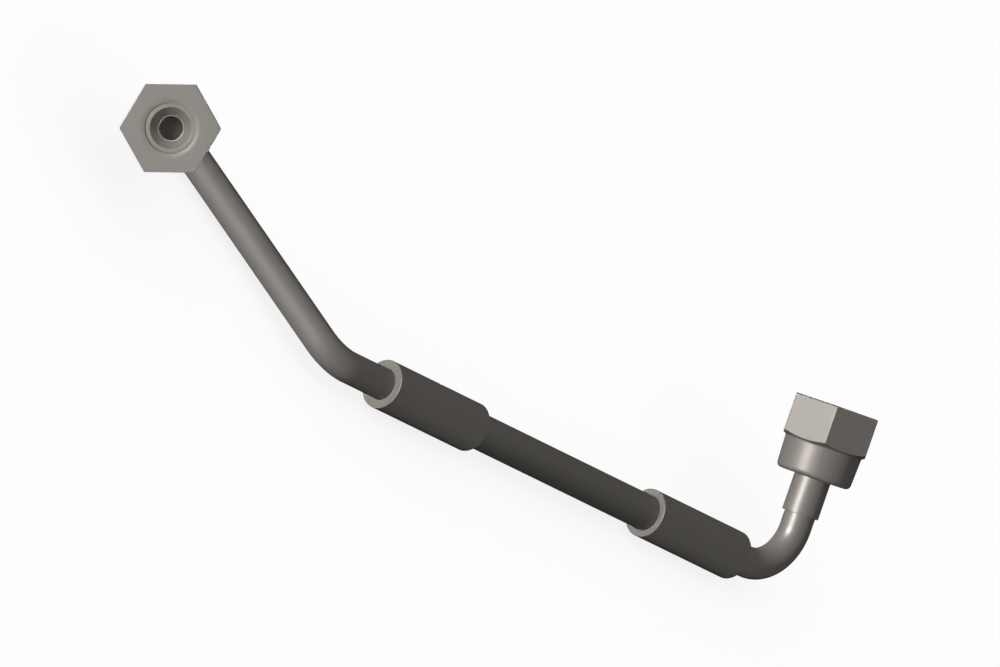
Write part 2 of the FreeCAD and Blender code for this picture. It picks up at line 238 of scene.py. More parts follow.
class Finish(bpy.types.PropertyGroup):
    """Colours and surface of the metals and the hose."""

    steel: colour("Steel", "Colour of the steel", (0.300, 0.280, 0.258))
    hose: colour("Hose", "Colour of the hose's cover", (0.285, 0.266, 0.243))
    metallic: share("Metallic", "How far the steel reflects as metal", 0.08)
    gloss: share("Gloss", "Paint-like gloss over the steel, on top of the metal's own", 0.0)
    hose_gloss: share("Hose gloss", "Gloss of the hose's cover", 0.0)
    edge_tint: share("Edge tint", "Metal's reflection that is left at grazing angles", 0.0)
    roughness: share("Roughness", "Roughness of the satin steel", 0.43)
    hose_roughness: share("Hose roughness", "Roughness of the hose's cover", 0.5)


class Studio(bpy.types.PropertyGroup):
    """Camera, lamps and floor."""

    azimuth: angle("Azimuth", "Camera's turn about Z", -53.593)
    elevation: angle("Elevation", "Camera's height above the horizon", 27.261)
    roll: angle("Roll", "Camera's turn about its own line of sight", 58.097)
    distance: length("Distance", "Camera's distance from its aim", 5876.03)
    aim: bpy.props.FloatVectorProperty(
        name="Aim",
        description="Point at the middle of the picture",
        default=(0.007643, 0.000817, 0.012879),
        subtype="TRANSLATION",
        unit="LENGTH",
    )
    lens: amount("Lens", "Focal length in millimetres", 1080.0)
    key: amount("Key lamp", "Power of the key lamp in watts", 102.0)
    glint: amount("Glint lamp", "Power of the lamp that only makes highlights", 950.0)
    front: amount("Front lamp", "Power of the wide lamp behind the camera in watts", 30.0)
    back: amount("Back lamp", "Power of the lamp opposite the camera in watts", 140.0)
    fill: amount("Fill", "Strength of the surrounding light", 0.12)
    ceiling: amount("Ceiling", "How bright the surroundings look overhead", 0.2)


def line_sizes():
    """The tube line's sizes of this scene."""
    return bpy.context.scene.vent_tube_line


def fitting_sizes():
    """The fittings' sizes of this scene."""
    return bpy.context.scene.vent_tube_fitting


def finish_values():
    """The finishes of this scene."""
    return bpy.context.scene.vent_tube_finish


def unit(vectors):
    """Vectors of length one."""
    return vectors / np.linalg.norm(vectors, axis=-1, keepdims=True)


class Axis:
    """A right-handed frame: an origin, Z along a piece and X across it."""

    def __init__(self, origin, along, across):
        self.origin = np.array(origin, float)
        self.z = unit(np.array(along, float))
        flat = np.array(across, float)
        self.x = unit(flat - self.z * (flat @ self.z))
        self.y = np.cross(self.z, self.x)

    def place(self, points):
        """Local points, moved into this frame: origin + x X + y Y + z Z."""
        return (
            self.origin
            + points[..., 0:1] * self.x
            + points[..., 1:2] * self.y
            + points[..., 2:3] * self.z
        )


def joint(end):
    """The record's joint of the nut at one end."""
    return next(item for item in frame["joints"] if item["child"] == "nut_" + end)


def hexagon_corner(end, origin, axis):
    """Direction from the nut's axis to its farthest point, which is a hexagon corner."""
    data = frame["nodes"]["swivel_nut_" + end].data
    points = np.empty(len(data.vertices) * 3, np.float32)
    data.vertices.foreach_get("co", points)
    offsets = points.reshape(-1, 3) - origin
    across = offsets - np.outer(offsets @ axis, axis)
    return across[np.argmax((across ** 2).sum(axis=1))]


def nut_frame(end):
    """Frame of one nut: origin on its back face, Z out of its mouth, X at a corner."""
    origin = np.array(joint(end)["pos_m"])
    axis = unit(np.array(joint(end)["axis"]))
    return Axis(origin, axis, hexagon_corner(end, origin, axis))


def nipple_frame(end):
    """Frame of one nipple: origin at its tail's end, on the nut's axis."""
    sizes = fitting_sizes()
    nut = nut_frame(end)
    back = sizes.tail_length - sizes.lip_length - sizes.swivel_float + sizes.swivel_gap
    return Axis(nut.origin - nut.z * back, nut.z, nut.x)


def sleeve_frame(end):
    """Frame of one ferrule, with its origin at the hose and Z away from it, and its length."""
    low, high = (np.array(corner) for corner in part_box("ferrule_" + end))
    middle = (low + high) / 2
    outward = -1.0 if end == "a" else 1.0
    start = high[0] if end == "a" else low[0]
    return Axis((start, middle[1], middle[2]), (outward, 0, 0), (0, 0, 1)), high[0] - low[0]


def round_corners(corners, radii):
    """Replace each corner of a closed outline by a tangent arc.

    corners is (corner, column, 2) and radii has one radius for each corner.  With
    u and v the directions to the two neighbours and h half the angle between them,
    the arc's centre lies at radius / sin(h) on the bisector, it starts and ends
    radius / tan(h) from the corner, and its points turn evenly between the two.
    """
    before = np.roll(corners, 1, axis=0) - corners
    after = np.roll(corners, -1, axis=0) - corners
    u, v = unit(before), unit(after)
    half = np.arccos(np.clip((u * v).sum(axis=-1, keepdims=True), -1, 1)) / 2
    room = np.minimum(np.linalg.norm(before, axis=-1), np.linalg.norm(after, axis=-1))
    reach = np.minimum(np.reshape(radii, (-1, 1, 1)) / np.tan(half), ROUND_REACH * room[..., None])
    radius = reach * np.tan(half)
    centre = corners + unit(u + v) * radius / np.sin(half)
    sweep = (math.pi - 2 * half)[:, None]
    first = (corners + u * reach - centre)[:, None]
    last = (corners + v * reach - centre)[:, None]
    part = np.linspace(0, 1, ROUND_STEPS + 1)[None, :, None, None]
    arc = (np.sin((1 - part) * sweep) * first + np.sin(part * sweep) * last) / np.sin(sweep)
    points = centre[:, None] + arc
    return points.reshape(-1, corners.shape[1], 2)


def add_grid(name, points, local, extra=None):
    """Make a mesh object from a closed grid of points.

    points and local are (row, column, 3), and both directions join up again.  Each
    square of the grid is a face.  A vertex normal is the sum of its four squares'
    diagonal cross products, which weighs them by area, so that flats stay flat
    beside small rounds.  local is kept as a vector attribute for the materials, and
    extra, where there is one, as the share of each point that lies on the bar's face.
    """
    rows, columns = points.shape[:2]
    number = np.arange(rows * columns).reshape(rows, columns)
    right, down = np.roll(number, -1, axis=1), np.roll(number, -1, axis=0)
    diagonal = np.roll(right, -1, axis=0)
    faces = np.stack([number, right, diagonal, down], axis=-1).reshape(-1, 4)
    flat = points.reshape(-1, 3)
    cross = np.cross(flat[faces[:, 2]] - flat[faces[:, 0]], flat[faces[:, 3]] - flat[faces[:, 1]])
    middle = flat[faces].mean(axis=1) - flat.mean(axis=0)
    if (cross * middle).sum() < 0:
        faces, cross = faces[:, ::-1], -cross
    cross = cross.reshape(rows, columns, 3)
    above, left = np.roll(cross, 1, axis=0), np.roll(cross, 1, axis=1)
    normals = unit((cross + above + left + np.roll(above, 1, axis=1)).reshape(-1, 3))

    data = bpy.data.meshes.new(name)
    data.from_pydata(flat, [], faces)
    data.polygons.foreach_set("use_smooth", np.ones(len(faces), bool))
    data.normals_split_custom_set_from_vertices(normals)
    data.attributes.new(LOCAL, "FLOAT_VECTOR", "POINT").data.foreach_set(
        "vector", local.reshape(-1).astype(np.float32)
    )
    if extra is not None:
        data.attributes.new(BAR_FACE, "FLOAT", "POINT").data.foreach_set(
            "value", extra.reshape(-1).astype(np.float32)
        )
    piece = bpy.data.objects.new(name, data)
    bpy.context.scene.collection.objects.link(piece)
    return piece


def turned(outline, turns):
    """Carry a (radius, height) outline round Z.

    outline is (row, column, 2), or one column for all turns.  A point at angle t is
    (r cos t, r sin t, height).
    """
    radius = np.broadcast_to(outline[..., 0], (len(outline), len(turns)))
    height = np.broadcast_to(outline[..., 1], (len(outline), len(turns)))
    return np.stack([radius * np.cos(turns), radius * np.sin(turns), height], axis=-1)


def even_turns():
    """Angles spread evenly round a full turn."""
    return np.linspace(0, 2 * math.pi, TURN_STEPS, endpoint=False)


def lathe(name, axis, corners, radii):
    """A turned piece from its outline's corners and the radius at each of them."""
    outline = round_corners(np.array(corners, float)[:, None, :], np.array(radii, float))
    local = turned(outline, even_turns())
    return add_grid(name, axis.place(local), local)


def finish_piece(piece, body, slot, material, *nodes):
    """Give a piece its material and body, and hide the solids that it stands for. The slot is not
    used.
    """
    piece.data.materials.append(material)
    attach(piece, body)
    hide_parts(*nodes)


def fillet_path(corners, radius):
    """Points, directions and lengths along straight runs joined by tangent arcs.

    Each inner corner of the route is cut back by radius * tan(turn / 2) on both of its
    runs.  The arc between swings about a centre beside the corner, and its direction
    is the tangent of the circle there.
    """
    corners = [np.array(corner, float) for corner in corners]
    points, tangents = [corners[0]], [unit(corners[1] - corners[0])]
    for before, corner, after in zip(corners, corners[1:], corners[2:]):
        inward, outward = unit(corner - before), unit(after - corner)
        swing = math.acos(float(inward @ outward))
        side = unit(outward - inward * (inward @ outward))
        start = corner - inward * radius * math.tan(swing / 2)
        steps = np.linspace(0, swing, BEND_STEPS + 1)[:, None]
        points.extend(start + radius * (np.sin(steps) * inward + (1 - np.cos(steps)) * side))
        tangents.extend(np.cos(steps) * inward + np.sin(steps) * side)
    points.append(corners[-1])
    tangents.append(unit(corners[-1] - corners[-2]))
    points, tangents = np.array(points), np.array(tangents)
    lengths = np.concatenate([[0], np.cumsum(np.linalg.norm(np.diff(points, axis=0), axis=1))])
    return points, tangents, lengths


def carried_frames(tangents, across):
    """Directions across a path, carried along it without twist.

    At each point the last direction loses its part along the new tangent.
    """
    sides = [unit(across - tangents[0] * (across @ tangents[0]))]
    for tangent in tangents[1:]:
        sides.append(unit(sides[-1] - tangent * (sides[-1] @ tangent)))
    sides = np.array(sides)
    return sides, np.cross(tangents, sides)


def swept_tube(name, corners, outside, wall, bend_radius):
    """A tube of one section carried along a route, outside and bore in one surface.

    A point is path(s) + r (cos t X(s) + sin t Y(s)).  The rows run along the outside
    and come back along the bore.  The local copy is the same tube laid straight.
    """
    path, tangents, lengths = fillet_path(corners, bend_radius)
    x, y = carried_frames(tangents, np.array([0.0, 0.0, 1.0]))
    turns = even_turns()
    ring = np.cos(turns)[None, :, None] * x[:, None] + np.sin(turns)[None, :, None] * y[:, None]
    straight = np.stack([np.cos(turns), np.sin(turns), np.zeros_like(turns)], axis=-1)
    along = lengths[:, None, None] * np.array([0.0, 0.0, 1.0])
    rows, flat = [], []
    for radius, order in ((outside / 2, slice(None)), (outside / 2 - wall, slice(None, None, -1))):
        rows.append((path[:, None] + radius * ring)[order])
        flat.append((along + radius * straight)[order])
    return add_grid(name, np.concatenate(rows), np.concatenate(flat))


def meeting_point(point, direction, axis):
    """Point of a line that lies nearest an axis, both given by a point and a direction."""
    gap = axis.origin - point
    cosine = direction @ axis.z
    along = (gap @ direction - cosine * (gap @ axis.z)) / (1 - cosine ** 2)
    return point + along * direction


def tube_routes():
    """Corner points of both tubes, worked out from the nuts' axes and the hose's axis.

    The hook's corner is where the hose's axis meets the nut's.  The straight from
    the hook's end to the nut's back face is the same at both ends, which gives the
    elbow's corner on the other nut's axis.  The elbow is a right angle, so the
    offset's corner is where a plane through the elbow's, square to that axis, cuts
    the hose's axis.
    """
    line, fitting = line_sizes(), fitting_sizes()
    starts = {}
    for end in ENDS:
        sleeve, sleeve_length = sleeve_frame(end)
        starts[end] = sleeve.origin + sleeve.z * (sleeve_length - line.collar)
    hose_way = np.array([1.0, 0.0, 0.0])
    hook_nut, elbow_nut = nut_frame("b"), nut_frame("a")
    tips = {end: nipple_frame(end) for end in ENDS}
    tips = {end: tip.origin + tip.z * fitting.socket_depth for end, tip in tips.items()}

    hook = meeting_point(starts["b"], hose_way, hook_nut)
    swing = math.acos(float(hose_way @ hook_nut.z))
    straight = (hook_nut.origin - hook) @ hook_nut.z - line.bend_radius * math.tan(swing / 2)
    elbow = elbow_nut.origin - elbow_nut.z * (straight + line.bend_radius)
    slant = hose_way @ elbow_nut.z
    offset = starts["a"] + hose_way * ((elbow - starts["a"]) @ elbow_nut.z) / slant
    return [starts["a"], offset, elbow, tips["a"]], [starts["b"], hook, tips["b"]]


def nut_turns(sizes):
    """Angles of the nut's columns, with close columns where the hexagon's edges turn.

    Returns the angles and the hexagon's radius at each: the flat's distance over the
    cosine of the angle from its middle, with each corner rounded off by a small
    circle about a centre that lies on the corner's own line.
    """
    sixth = math.pi / 3
    corner = sizes.across_flats / 2 / math.cos(sixth / 2)
    tangent = sizes.edge * math.tan(sixth / 2)
    slight = math.atan2(tangent * math.cos(sixth / 2), corner - tangent * math.sin(sixth / 2))
    close = np.linspace(-slight, slight, CORNER_COLUMNS)
    wide = np.linspace(slight, sixth - slight, FLAT_STEPS + 1)[1:-1]
    one = np.concatenate([close, wide])
    turns = (one[None, :] + sixth * np.arange(6)[:, None]).reshape(-1)
    from_corner = np.abs((turns + sixth / 2) % sixth - sixth / 2)
    flat = sizes.across_flats / 2 / np.cos(sixth / 2 - from_corner)
    centre = corner - sizes.edge / math.cos(sixth / 2)
    offset = centre * np.sin(from_corner)
    rounded = centre * np.cos(from_corner) + np.sqrt(np.maximum(sizes.edge ** 2 - offset ** 2, 0))
    return turns, np.where(from_corner < slight, rounded, flat)


def thread_rows(sizes, turns, foot, mouth):
    """The inside thread as rows of (radius, height).

    The height runs from foot to mouth, and the phase is height / pitch - turn / 2 pi.
    A wave of that phase has a flat crest of a quarter pitch, a flat root of an eighth
    and straight flanks between them.  The groove fades out over the first pitch above
    the foot and the last half pitch below the mouth.
    """
    count = int(round((mouth - foot) / sizes.thread_pitch * PITCH_STEPS))
    height = np.linspace(foot, mouth, count + 1)[:, None] + 0 * turns
    phase = (height / sizes.thread_pitch - turns / (2 * math.pi)) % 1.0
    from_crest = np.minimum(phase, 1 - phase)
    depth = np.clip((from_crest - HALF_CREST) / (1 / 2 - HALF_CREST - HALF_ROOT), 0, 1)
    run_out = np.clip(np.minimum(height - foot, 2 * (mouth - height)) / sizes.thread_pitch, 0, 1)
    crest, root = sizes.thread_crest / 2, sizes.thread_root / 2
    return np.stack([crest + (root - crest) * depth * run_out, height], axis=-1)


def swivel_nut(end):
    """One swivel nut: a hexagon outside and a lip, relief and thread inside.

    Each column is an outline from the mouth down the outside, across the back face
    and up the bore.  Its outer radius is the hexagon's radius at that angle, and the
    foot of the hexagon is where a shallow cone meets it.
    """
    sizes = fitting_sizes()
    turns, hexagon = nut_turns(sizes)
    slope = math.tan(sizes.chamfer)
    flat_foot = sizes.nut_length - sizes.hexagon_height
    skirt_top = flat_foot - (sizes.across_flats - sizes.skirt_top) / 2 * slope
    thread_foot = sizes.nut_length - sizes.thread_reach
    thread_mouth = sizes.nut_length - sizes.mouth_width * math.tan(sizes.mouth_angle)
    lip = sizes.tail_outside / 2 + sizes.swivel_gap
    cavity = sizes.cavity / 2
    crest = sizes.thread_crest / 2

    def level(radius, height):
        """One corner's radius and height at every column."""
        return np.stack([radius + 0 * hexagon, height + 0 * hexagon], axis=-1)

    corners = np.array([
        level(crest + sizes.mouth_width, sizes.nut_length),
        level(hexagon, sizes.nut_length),
        level(hexagon, flat_foot + (hexagon - sizes.across_flats / 2) * slope),
        level(sizes.skirt_top / 2, skirt_top),
        level(sizes.skirt_foot / 2, 0),
        level(lip, 0),
        level(lip, sizes.lip_length),
        level(cavity, sizes.lip_length + cavity - lip),
        level(cavity, thread_foot),
        level(crest, thread_foot),
        level(crest, thread_mouth),
    ])
    edge = sizes.edge
    radii = [edge] * 3 + [sizes.neck_round, sizes.skirt_round] + [edge] * 4 + [0, 0]
    rounded = round_corners(corners, radii)
    corner_rows = ROUND_STEPS + 1

    # The thread's rows take the place of the last two corners
    thread = thread_rows(sizes, turns, thread_foot, thread_mouth)
    outline = np.concatenate([rounded[:-2 * corner_rows], thread])
    local = turned(outline, turns)

    # The flats run from the second corner's last row to the third one's first, and
    # the marks of the bar reach one row past each
    on_bar = np.zeros(outline.shape[:2])
    on_bar[2 * corner_rows - 2:2 * corner_rows + 2] = 1.0
    return add_grid("nut_" + end + "_dressed", nut_frame(end).place(local), local, on_bar)


def nipple(end):
    """One nipple: tail, shoulder, head, cone seat, land, bore and tube socket.

    The cone's foot lies (mouth radius - bore radius - land) / tan(half angle) under
    the front face, and the shoulder rises as much as it widens.
    """
    sizes, line = fitting_sizes(), line_sizes()
    bore, tail, head = sizes.nipple_bore / 2, sizes.tail_outside / 2, sizes.head_outside / 2
    seat = sizes.seat_mouth / 2
    foot = sizes.nipple_length - (seat - bore - sizes.seat_land) / math.tan(sizes.seat_angle)
    socket = line.tube_outside / 2 + line.joint_gap
    corners = [
        (socket, 0),
        (tail, 0),
        (tail, sizes.tail_length),
        (head, sizes.tail_length + head - tail),
        (head, sizes.nipple_length),
        (seat, sizes.nipple_length),
        (bore + sizes.seat_land, foot),
        (bore, foot),
        (bore, sizes.socket_depth),
        (socket, sizes.socket_depth),
    ]
    edge = sizes.edge
    radii = [edge / 2] + [edge] * 7 + [edge / 2] * 2
    return lathe("nipple_" + end + "_dressed", nipple_frame(end), corners, radii)


def ferrule(end):
    """One ferrule: a plain sleeve with a collar for the tube and grips for the hose.

    Grip groove n, counted from 0, starts (n + 1/2) spacings from the hose's end.
    """
    line = line_sizes()
    axis, sleeve_length = sleeve_frame(end)
    low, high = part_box("ferrule_" + end)
    outside = (high.z - low.z) / 2
    hose_low, hose_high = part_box("hose")
    hose_seat = (hose_high.z - hose_low.z) / 2 + line.joint_gap
    tube_seat = line.tube_outside / 2 + line.joint_gap
    depth = sleeve_length - line.collar - line.flange
    corners = [
        (hose_seat, 0),
        (outside, 0),
        (outside, sleeve_length),
        (tube_seat, sleeve_length),
        (tube_seat, depth),
        (hose_seat, depth),
    ]
    radii = [line.edge] * 4 + [line.joint_gap] * 2
    for number in reversed(range(line.grip_count)):
        bottom = (number + 0.5) * line.grip_spacing
        top = bottom + line.grip_width
        grooved = hose_seat + line.grip_depth
        corners += [(hose_seat, top), (grooved, top), (grooved, bottom), (hose_seat, bottom)]
        radii += [line.edge] * 4
    return lathe("ferrule_" + end + "_dressed", axis, corners, radii)


def hose_cover():
    """The hose, one plain tube between the flanges of the two stems."""
    line = line_sizes()
    low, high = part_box("hose")
    outside = (high.z - low.z) / 2
    middle = (low + high) / 2
    axis = Axis((low.x, middle.y, middle.z), (1, 0, 0), (0, 0, 1))
    span = high.x - low.x
    bore = line.hose_bore / 2
    corners = [(bore, 0), (outside, 0), (outside, span), (bore, span)]
    return lathe("hose_dressed", axis, corners, [line.edge] * 4)


class Wire:
    """A shader socket that takes part in Python arithmetic."""

    def __init__(self, shader, socket):
        self.shader = shader
        self.socket = socket

    def maths(self, operation, *values):
        """One Math node on the given values, in their order."""
        node = self.shader.node("ShaderNodeMath", {"operation": operation}, dict(enumerate(values)))
        return self.shader.out(node, "Value")

    def __add__(self, other):
        return self.maths("ADD", self, other)

    def __radd__(self, other):
        return self.maths("ADD", other, self)

    def __sub__(self, other):
        return self.maths("SUBTRACT", self, other)

    def __rsub__(self, other):
        return self.maths("SUBTRACT", other, self)

    def __mul__(self, other):
        return self.maths("MULTIPLY", self, other)

    def __rmul__(self, other):
        return self.maths("MULTIPLY", other, self)

    def __pow__(self, other):
        return self.maths("POWER", self, other)

    def __rpow__(self, other):
        return self.maths("POWER", other, self)

    def larger(self, other):
        """The larger of two values."""
        return self.maths("MAXIMUM", self, other)

    def between(self, low, high):
        """0 below low, 1 above high and a smooth step between them."""
        settings = {"interpolation_type": "SMOOTHSTEP"}
        inputs = {"Value": self, "From Min": low, "From Max": high}
        return self.shader.out(self.shader.node("ShaderNodeMapRange", settings, inputs), "Result")


class Shader:
    """A node tree that is wired by calls."""

    def __init__(self, owner):
        owner.use_nodes = True
        self.tree = owner.node_tree
        self.tree.nodes.clear()

    def socket(self, sockets, key):
        """A socket by its number, identifier or name."""
        if isinstance(key, int):
            return sockets[key]
        return next(item for item in sockets if key in (item.identifier, item.name))

    def node(self, kind, settings=None, inputs=None):
        """Make a node, set its settings first and then its values and links."""
        node = self.tree.nodes.new(kind)
        for key, value in (settings or {}).items():
            setattr(node, key, value)
        for key, value in (inputs or {}).items():
            socket = self.socket(node.inputs, key)
            if isinstance(value, Wire):
                self.tree.links.new(value.socket, socket)
            else:
                socket.default_value = value
        return node

    def out(self, node, key=0):
        """One output of a node, ready for arithmetic."""
        return Wire(self, self.socket(node.outputs, key))

    def local(self):
        """The piece's own coordinates in metres, as if it were straight and upright."""
        node = self.node("ShaderNodeAttribute", {"attribute_name": LOCAL})
        return self.out(node, "Vector")

    def value_of(self, name):
        """A number kept on the mesh."""
        return self.out(self.node("ShaderNodeAttribute", {"attribute_name": name}), "Fac")

    def scaled(self, vector, factors):
        """A vector times a vector, part by part."""
        node = self.node("ShaderNodeVectorMath", {"operation": "MULTIPLY"}, {0: vector, 1: factors})
        return self.out(node, "Vector")

    def parts(self, vector):
        """The three parts of a vector."""
        node = self.node("ShaderNodeSeparateXYZ", None, {"Vector": vector})
        return [self.out(node, key) for key in range(3)]

    def noise(self, vector, scale, detail, roughness=0.5):
        """Smooth noise between 0 and 1, with a mean of about a half."""
        inputs = {"Vector": vector, "Scale": scale, "Detail": detail, "Roughness": roughness}
        return self.out(self.node("ShaderNodeTexNoise", None, inputs), "Fac")

    def rings(self, place):
        """Noise along one line only, as a lathe tool leaves it."""
        inputs = {
            "W": place,
            "Scale": RING_SCALE,
            "Detail": RING_DETAIL,
            "Roughness": RING_ROUGHNESS,
        }
        node = self.node("ShaderNodeTexNoise", {"noise_dimensions": "1D"}, inputs)
        return self.out(node, "Fac")

    def mix(self, factor, first, second):
        """A colour between two colours."""
        inputs = {"Factor_Float": factor, "A_Color": first, "B_Color": second}
        node = self.node("ShaderNodeMix", {"data_type": "RGBA"}, inputs)
        return self.out(node, "Result_Color")

    def bump(self, height, strength):
        """A normal from a height between 0 and 1, over the height of the marks."""
        inputs = {"Height": height, "Strength": strength, "Distance": MARK_HEIGHT}
        return self.out(self.node("ShaderNodeBump", None, inputs), "Normal")


def rgba(colour_values, factor):
    """A colour with full alpha, darkened or lightened by a factor."""
    return (*(min(1.0, part * factor) for part in colour_values), 1.0)


def grey(level):
    """A grey with full alpha."""
    return (level, level, level, 1.0)


def surface_material(name, paint):
    """A material with one Principled surface, whose sockets come from paint(shader)."""
    material = bpy.data.materials.new(name)
    shader = Shader(material)
    surface = shader.node("ShaderNodeBsdfPrincipled", None, paint(shader))
    shader.node("ShaderNodeOutputMaterial", None, {"Surface": shader.out(surface)})
    return material


def drifting(shader, factor, colour_values, drift):
    """A colour that drifts by a share to either side of its own value."""
    return shader.mix(factor, rgba(colour_values, 1 - drift), rgba(colour_values, 1 + drift))


def turned_rings(shader):
    """Rings about the axis, on walls and faces alike: noise over z + slant * radius."""
    x, y, z = shader.parts(shader.local())
    radius = (x * x + y * y) ** 0.5
    return shader.rings(z + radius * RING_SLANT)


def drawn_lines(shader, scale, squeeze):
    """Lines along a piece: noise whose height is squeezed."""
    stretched = shader.scaled(shader.local(), (1.0, 1.0, squeeze))
    return shader.noise(stretched, scale, detail=3.0, roughness=0.6)


def steel_sockets(shader, pattern, strength):
    """Sockets of satin steel under a fine pattern of marks.

    Colour and roughness drift slowly over the surface, and the marks lift the
    roughness a little and feed the bump.  The edge tint keeps the metal from
    flaring where it is seen at a grazing angle.
    """
    values = finish_values()
    local = shader.local()
    cloud = shader.noise(local, scale=160.0, detail=3.0)
    speck = shader.noise(local, scale=2600.0, detail=2.0)
    tone = cloud * 0.6 + speck * 0.4
    drift = (cloud - 0.5) * ROUGHNESS_DRIFT + (pattern - 0.5) * ROUGHNESS_DRIFT
    return {
        "Base Color": drifting(shader, tone, values.steel, STEEL_DRIFT),
        "Metallic": values.metallic,
        "Specular IOR Level": values.gloss,
        "Specular Tint": grey(values.edge_tint),
        "Roughness": drift + values.roughness,
        "Normal": shader.bump(pattern * 0.8 + speck * 0.2, strength),
    }


def turned_steel(name):
    """Steel from the lathe: fine rings about the axis, on walls and faces alike."""

    def paint(shader):
        return steel_sockets(shader, turned_rings(shader), strength=0.35)

    return surface_material(name, paint)


def drawn_steel(name):
    """Drawn tube: long faint lines along the tube."""

    def paint(shader):
        pattern = drawn_lines(shader, scale=3600.0, squeeze=0.03)
        return steel_sockets(shader, pattern, strength=0.3)

    return surface_material(name, paint)


def nut_steel(name):
    """Nut from hexagon bar: lines along the flats, lathe rings everywhere else."""

    def paint(shader):
        rings = turned_rings(shader)
        drawn = drawn_lines(shader, scale=3000.0, squeeze=0.05)
        pattern = rings + (drawn - rings) * shader.value_of(BAR_FACE)
        return steel_sockets(shader, pattern, strength=0.35)

    return surface_material(name, paint)


def hose_rubber(name):
    """Hose cover: smooth and satin, with a very fine wrap-cured grain."""

    def paint(shader):
        values = finish_values()
        local = shader.local()
        cloud = shader.noise(local, scale=120.0, detail=3.0)
        squeezed = shader.scaled(local, (1.0, 1.0, 0.6))
        grain = shader.noise(squeezed, scale=4200.0, detail=2.0, roughness=0.6)
        drift = (cloud - 0.5) * HOSE_CLOUD_DRIFT + (grain - 0.5) * ROUGHNESS_DRIFT
        return {
            "Base Color": drifting(shader, cloud, values.hose, HOSE_DRIFT),
            "Metallic": 0.0,
            "Specular IOR Level": values.hose_gloss,
            "Roughness": drift + values.hose_roughness,
            "Normal": shader.bump(grain, strength=0.3),
        }

    return surface_material(name, paint)


class VENT_OT_tubes(bpy.types.Operator):
    """Make the two bent tubes"""

    bl_idname = "vent_tube.tubes"
    bl_label = "Bent tubes"

    def execute(self, context):
        line = line_sizes()
        material = drawn_steel("drawn_tube_steel")
        for node, route in zip(("double_bent_tube", "single_bent_tube"), tube_routes()):
            piece = swept_tube(
                node + "_dressed", route, line.tube_outside, line.tube_wall, line.bend_radius
            )
            finish_piece(piece, ASSEMBLY, "tube_steel", material, node)
        return {"FINISHED"}


class VENT_OT_hose(bpy.types.Operator):
    """Make the hose"""

    bl_idname = "vent_tube.hose"
    bl_label = "Hose"

    def execute(self, context):
        finish_piece(hose_cover(), ASSEMBLY, "hose_cover", hose_rubber("hose_cover"), "hose")
        return {"FINISHED"}


class VENT_OT_ferrules(bpy.types.Operator):
    """Make the two crimped ferrules"""

    bl_idname = "vent_tube.ferrules"
    bl_label = "Ferrules"

    def execute(self, context):
        material = turned_steel("ferrule_steel")
        for end in ENDS:
            finish_piece(ferrule(end), ASSEMBLY, "ferrule_steel", material, "ferrule_" + end)
        return {"FINISHED"}


class VENT_OT_stems(bpy.types.Operator):
    """Finish the barbed stems inside the hose"""

    bl_idname = "vent_tube.stems"
    bl_label = "Barbed stems"

    def execute(self, context):
        material = bpy.data.materials.new("stem_steel")
        shader = Shader(material)
        place = shader.out(shader.node("ShaderNodeTexCoord"), "Object")
        rings = shader.rings(shader.parts(place)[0])
        values = finish_values()
        surface = shader.node("ShaderNodeBsdfPrincipled", None, {
            "Base Color": drifting(shader, rings, values.steel, STEM_DRIFT),
            "Metallic": values.metallic,
            "Specular IOR Level": values.gloss,
            "Specular Tint": grey(values.edge_tint),
            "Roughness": values.roughness,
            "Normal": shader.bump(rings, strength=0.3),
        })
        shader.node("ShaderNodeOutputMaterial", None, {"Surface": shader.out(surface)})
        for end in ENDS:
            for slot in frame["nodes"]["barbed_stem_" + end].material_slots:
                slot.material = material
        return {"FINISHED"}


class VENT_OT_nipples(bpy.types.Operator):
    """Make the two nipples"""

    bl_idname = "vent_tube.nipples"
    bl_label = "Nipples"

    def execute(self, context):
        material = turned_steel("nipple_steel")
        for end in ENDS:
            finish_piece(nipple(end), ASSEMBLY, "nipple_steel", material, "nipple_" + end)
        return {"FINISHED"}


class VENT_OT_nuts(bpy.types.Operator):
    """Make the two swivel nuts"""

    bl_idname = "vent_tube.nuts"
    bl_label = "Swivel nuts"

    def execute(self, context):
        material = nut_steel("nut_steel")
        for end in ENDS:
            piece = swivel_nut(end)
            finish_piece(piece, "nut_" + end, "nut_steel", material, "swivel_nut_" + end)
        return {"FINISHED"}


def view_axes(azimuth, elevation, roll):
    """Right, up and back directions of a camera from three angles.

    back points from the aim to the camera.  right and up start level and upright,
    and turn together about back by the roll.
    """
    back = np.array([
        math.sin(azimuth) * math.cos(elevation),
        -math.cos(azimuth) * math.cos(elevation),
        math.sin(elevation),
    ])
    level = np.array([math.cos(azimuth), math.sin(azimuth), 0.0])
    upright = np.cross(back, level)
    right = level * math.cos(roll) + upright * math.sin(roll)
    return right, np.cross(back, right), back


def set_frame(thing, axes, place):
    """Turn an object so that its X, Y and Z are the given axes, and move it."""
    matrix = Matrix([Vector(axis) for axis in axes]).transposed().to_4x4()
    matrix.translation = Vector(place)
    thing.matrix_world = matrix


def add_lamp(name, azimuth, elevation, distance, size, power):
    """A round area lamp that looks at the object's middle from two angles.

    Only one lamp casts shadows, and one makes highlights and lights nothing else.
    """
    data = bpy.data.lights.new(name, "AREA")
    data.shape = "DISK"
    data.size = size
    data.energy = power
    data.use_shadow = name == SHADOW_LAMP
    lamp = bpy.data.objects.new(name, data)
    lamp.visible_camera = False
    lamp.visible_diffuse = name != HIGHLIGHT_LAMP
    bpy.context.scene.collection.objects.link(lamp)
    axes = view_axes(math.radians(azimuth), math.radians(elevation), 0.0)
    middle = (np.array(CAD_BOX[0]) + np.array(CAD_BOX[1])) / 2
    set_frame(lamp, axes, middle + axes[2] * distance)


